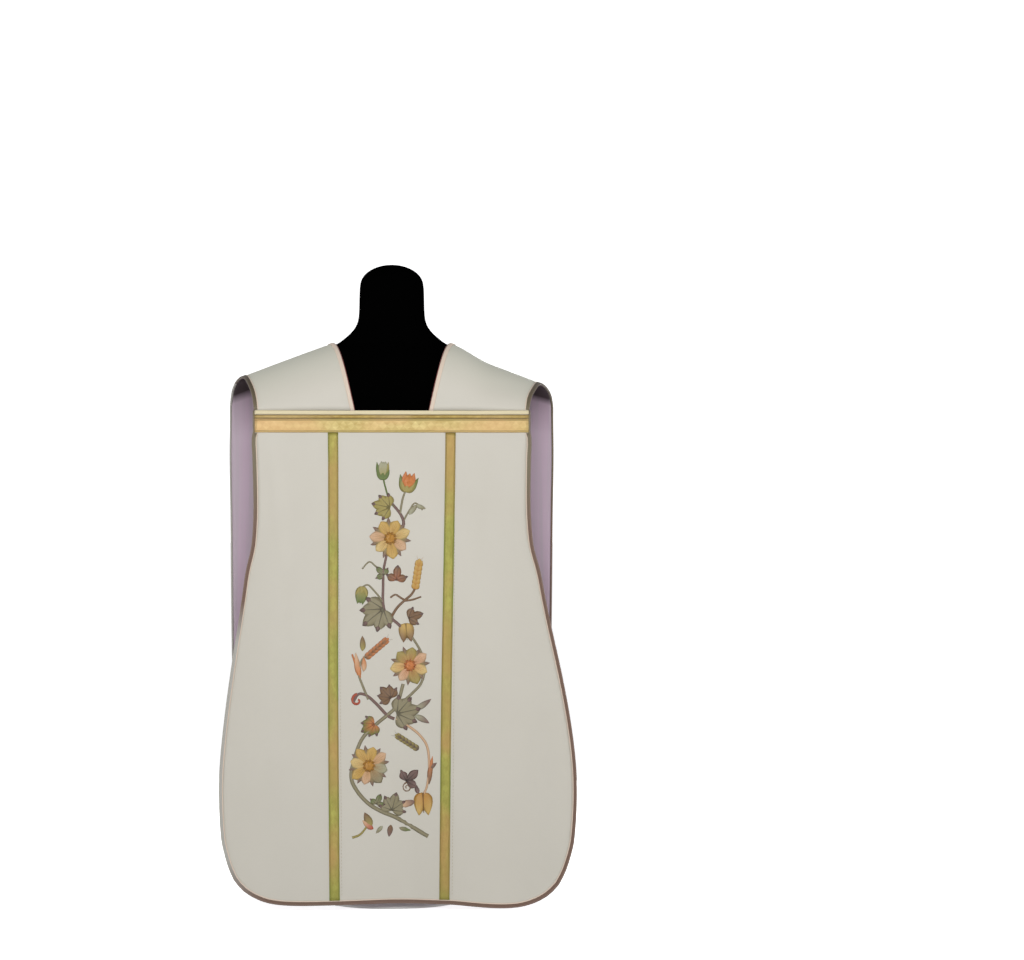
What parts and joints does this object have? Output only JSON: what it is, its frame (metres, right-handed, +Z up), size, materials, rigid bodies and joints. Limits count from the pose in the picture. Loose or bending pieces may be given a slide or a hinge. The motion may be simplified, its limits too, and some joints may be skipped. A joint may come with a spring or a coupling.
{
  "type": "fiddleback chasuble on a dress form",
  "caption": "Lined fiddleback chasuble with galloon-edged front and a cross on the back, worn by a plain limbless dress form on a round base.",
  "frame": {"origin": "on the floor, at the middle of the round base's underside, below the middle of the neck", "axes": "+Z up along the form, the front of the vestment faces -Y, its width lies along X"},
  "size_m": [0.7001, 0.3179, 1.267],
  "materials": {
    "front_cloth": "satin",
    "back_cloth": "satin",
    "lining": "satin",
    "bright_galloon": "satin",
    "galloon": "satin",
    "braid": "matte",
    "form_cover": "matte",
    "stand_metal": "satin"
  },
  "bodies": {
    "root": {"front_panel": "front_cloth", "front_lining": "lining", "back_and_straps": "back_cloth", "back_lining": "lining", "galloon_chest": "bright_galloon", "galloon_front_left": "galloon", "galloon_front_right": "galloon", "galloon_cross": "galloon", "braid_seam": "braid", "braid_front_edge": "braid", "braid_back_edge": "braid", "braid_neck": "braid", "form_torso": "form_cover", "form_pole": "stand_metal", "form_base": "stand_metal"}
  },
  "joints": []
}
